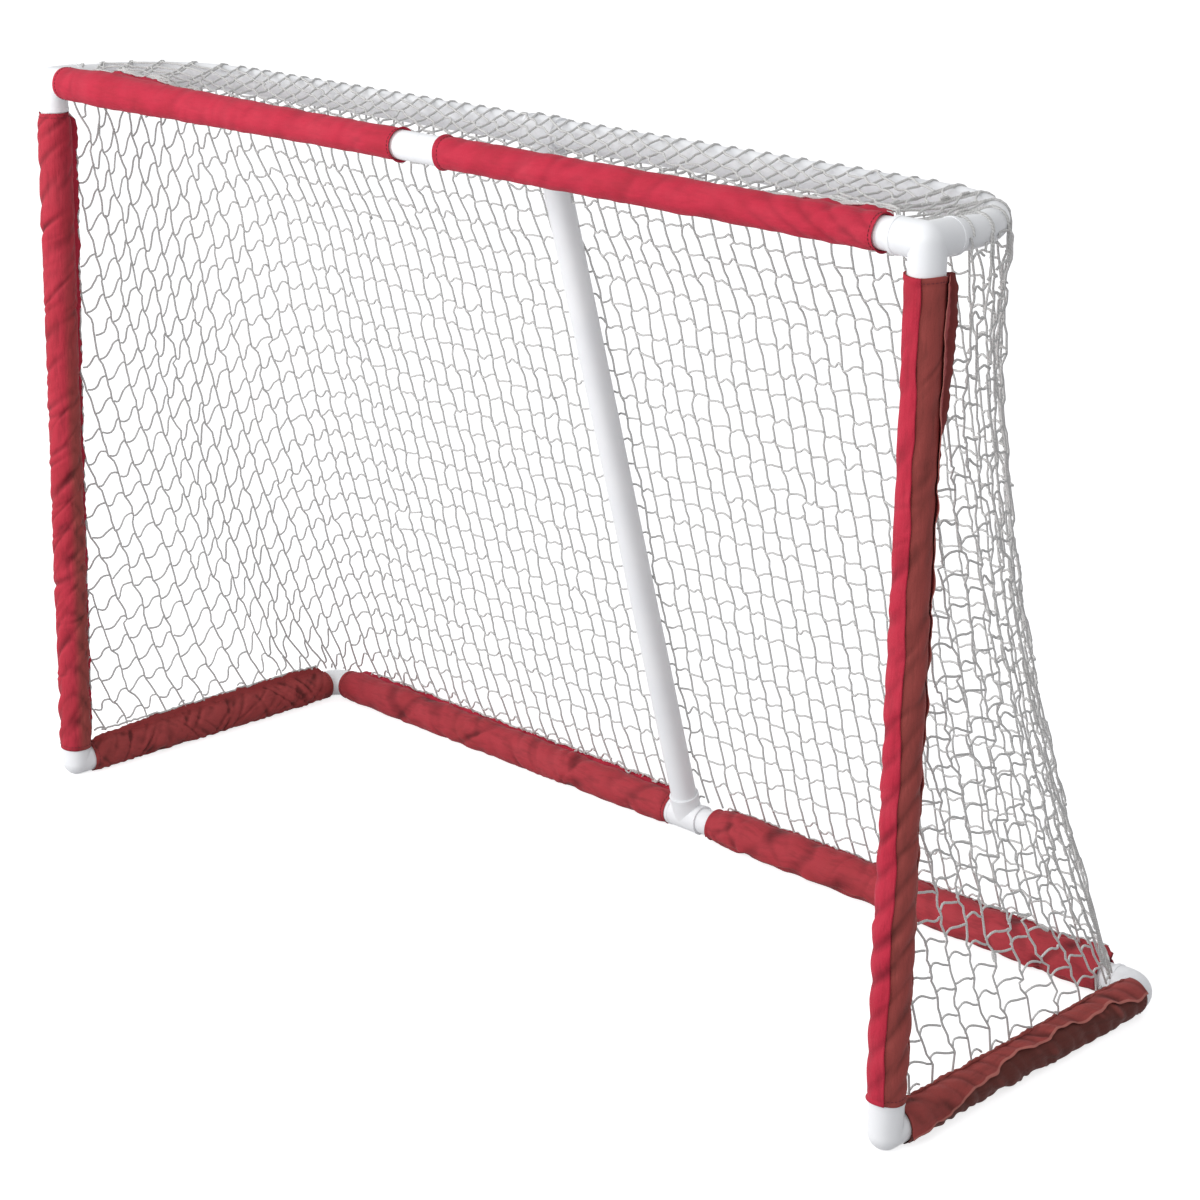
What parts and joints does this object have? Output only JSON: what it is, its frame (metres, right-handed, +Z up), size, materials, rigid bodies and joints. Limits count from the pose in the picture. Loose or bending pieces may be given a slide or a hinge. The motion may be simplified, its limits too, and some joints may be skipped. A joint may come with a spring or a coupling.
{
  "type": "hockey goal net",
  "caption": "Street hockey goal: a push-fit frame of white plastic tubes with a forward-leaning back brace, wrapped red fabric sleeves and a white net pocket.",
  "frame": {"origin": "On the floor, in the middle of the goal's outline seen from above.", "axes": "+X runs along the crossbar to the right as seen from the front, +Y runs from the open front to the back rail, +Z is up."},
  "size_m": [1.8382, 0.6471, 1.223],
  "materials": {
    "white_tube": "smooth white PVC with a soft sheen",
    "red_sleeve": "woven red nylon with a soft sheen, wrinkled",
    "net_twine": "white knotless twine"
  },
  "bodies": {
    "root": {"top_left_corner_fitting": "white_tube", "top_right_corner_fitting": "white_tube", "top_tee": "white_tube", "base_tee": "white_tube", "front_left_base_elbow": "white_tube", "front_right_base_elbow": "white_tube", "back_left_base_elbow": "white_tube", "back_right_base_elbow": "white_tube", "crossbar_coupler": "white_tube", "centre_brace_tube": "white_tube", "left_crossbar_tube": "white_tube", "right_crossbar_tube": "white_tube", "left_post_tube": "white_tube", "right_post_tube": "white_tube", "left_top_bent_tube": "white_tube", "right_top_bent_tube": "white_tube", "left_side_rail_tube": "white_tube", "right_side_rail_tube": "white_tube", "left_back_rail_tube": "white_tube", "right_back_rail_tube": "white_tube", "left_crossbar_sleeve": "red_sleeve", "right_crossbar_sleeve": "red_sleeve", "left_post_sleeve": "red_sleeve", "right_post_sleeve": "red_sleeve", "left_side_rail_sleeve": "red_sleeve", "right_side_rail_sleeve": "red_sleeve", "left_back_rail_sleeve": "red_sleeve", "right_back_rail_sleeve": "red_sleeve", "top_net": "net_twine", "back_net": "net_twine", "left_side_net": "net_twine", "right_side_net": "net_twine", "left_corner_net": "net_twine", "right_corner_net": "net_twine"}
  },
  "joints": []
}
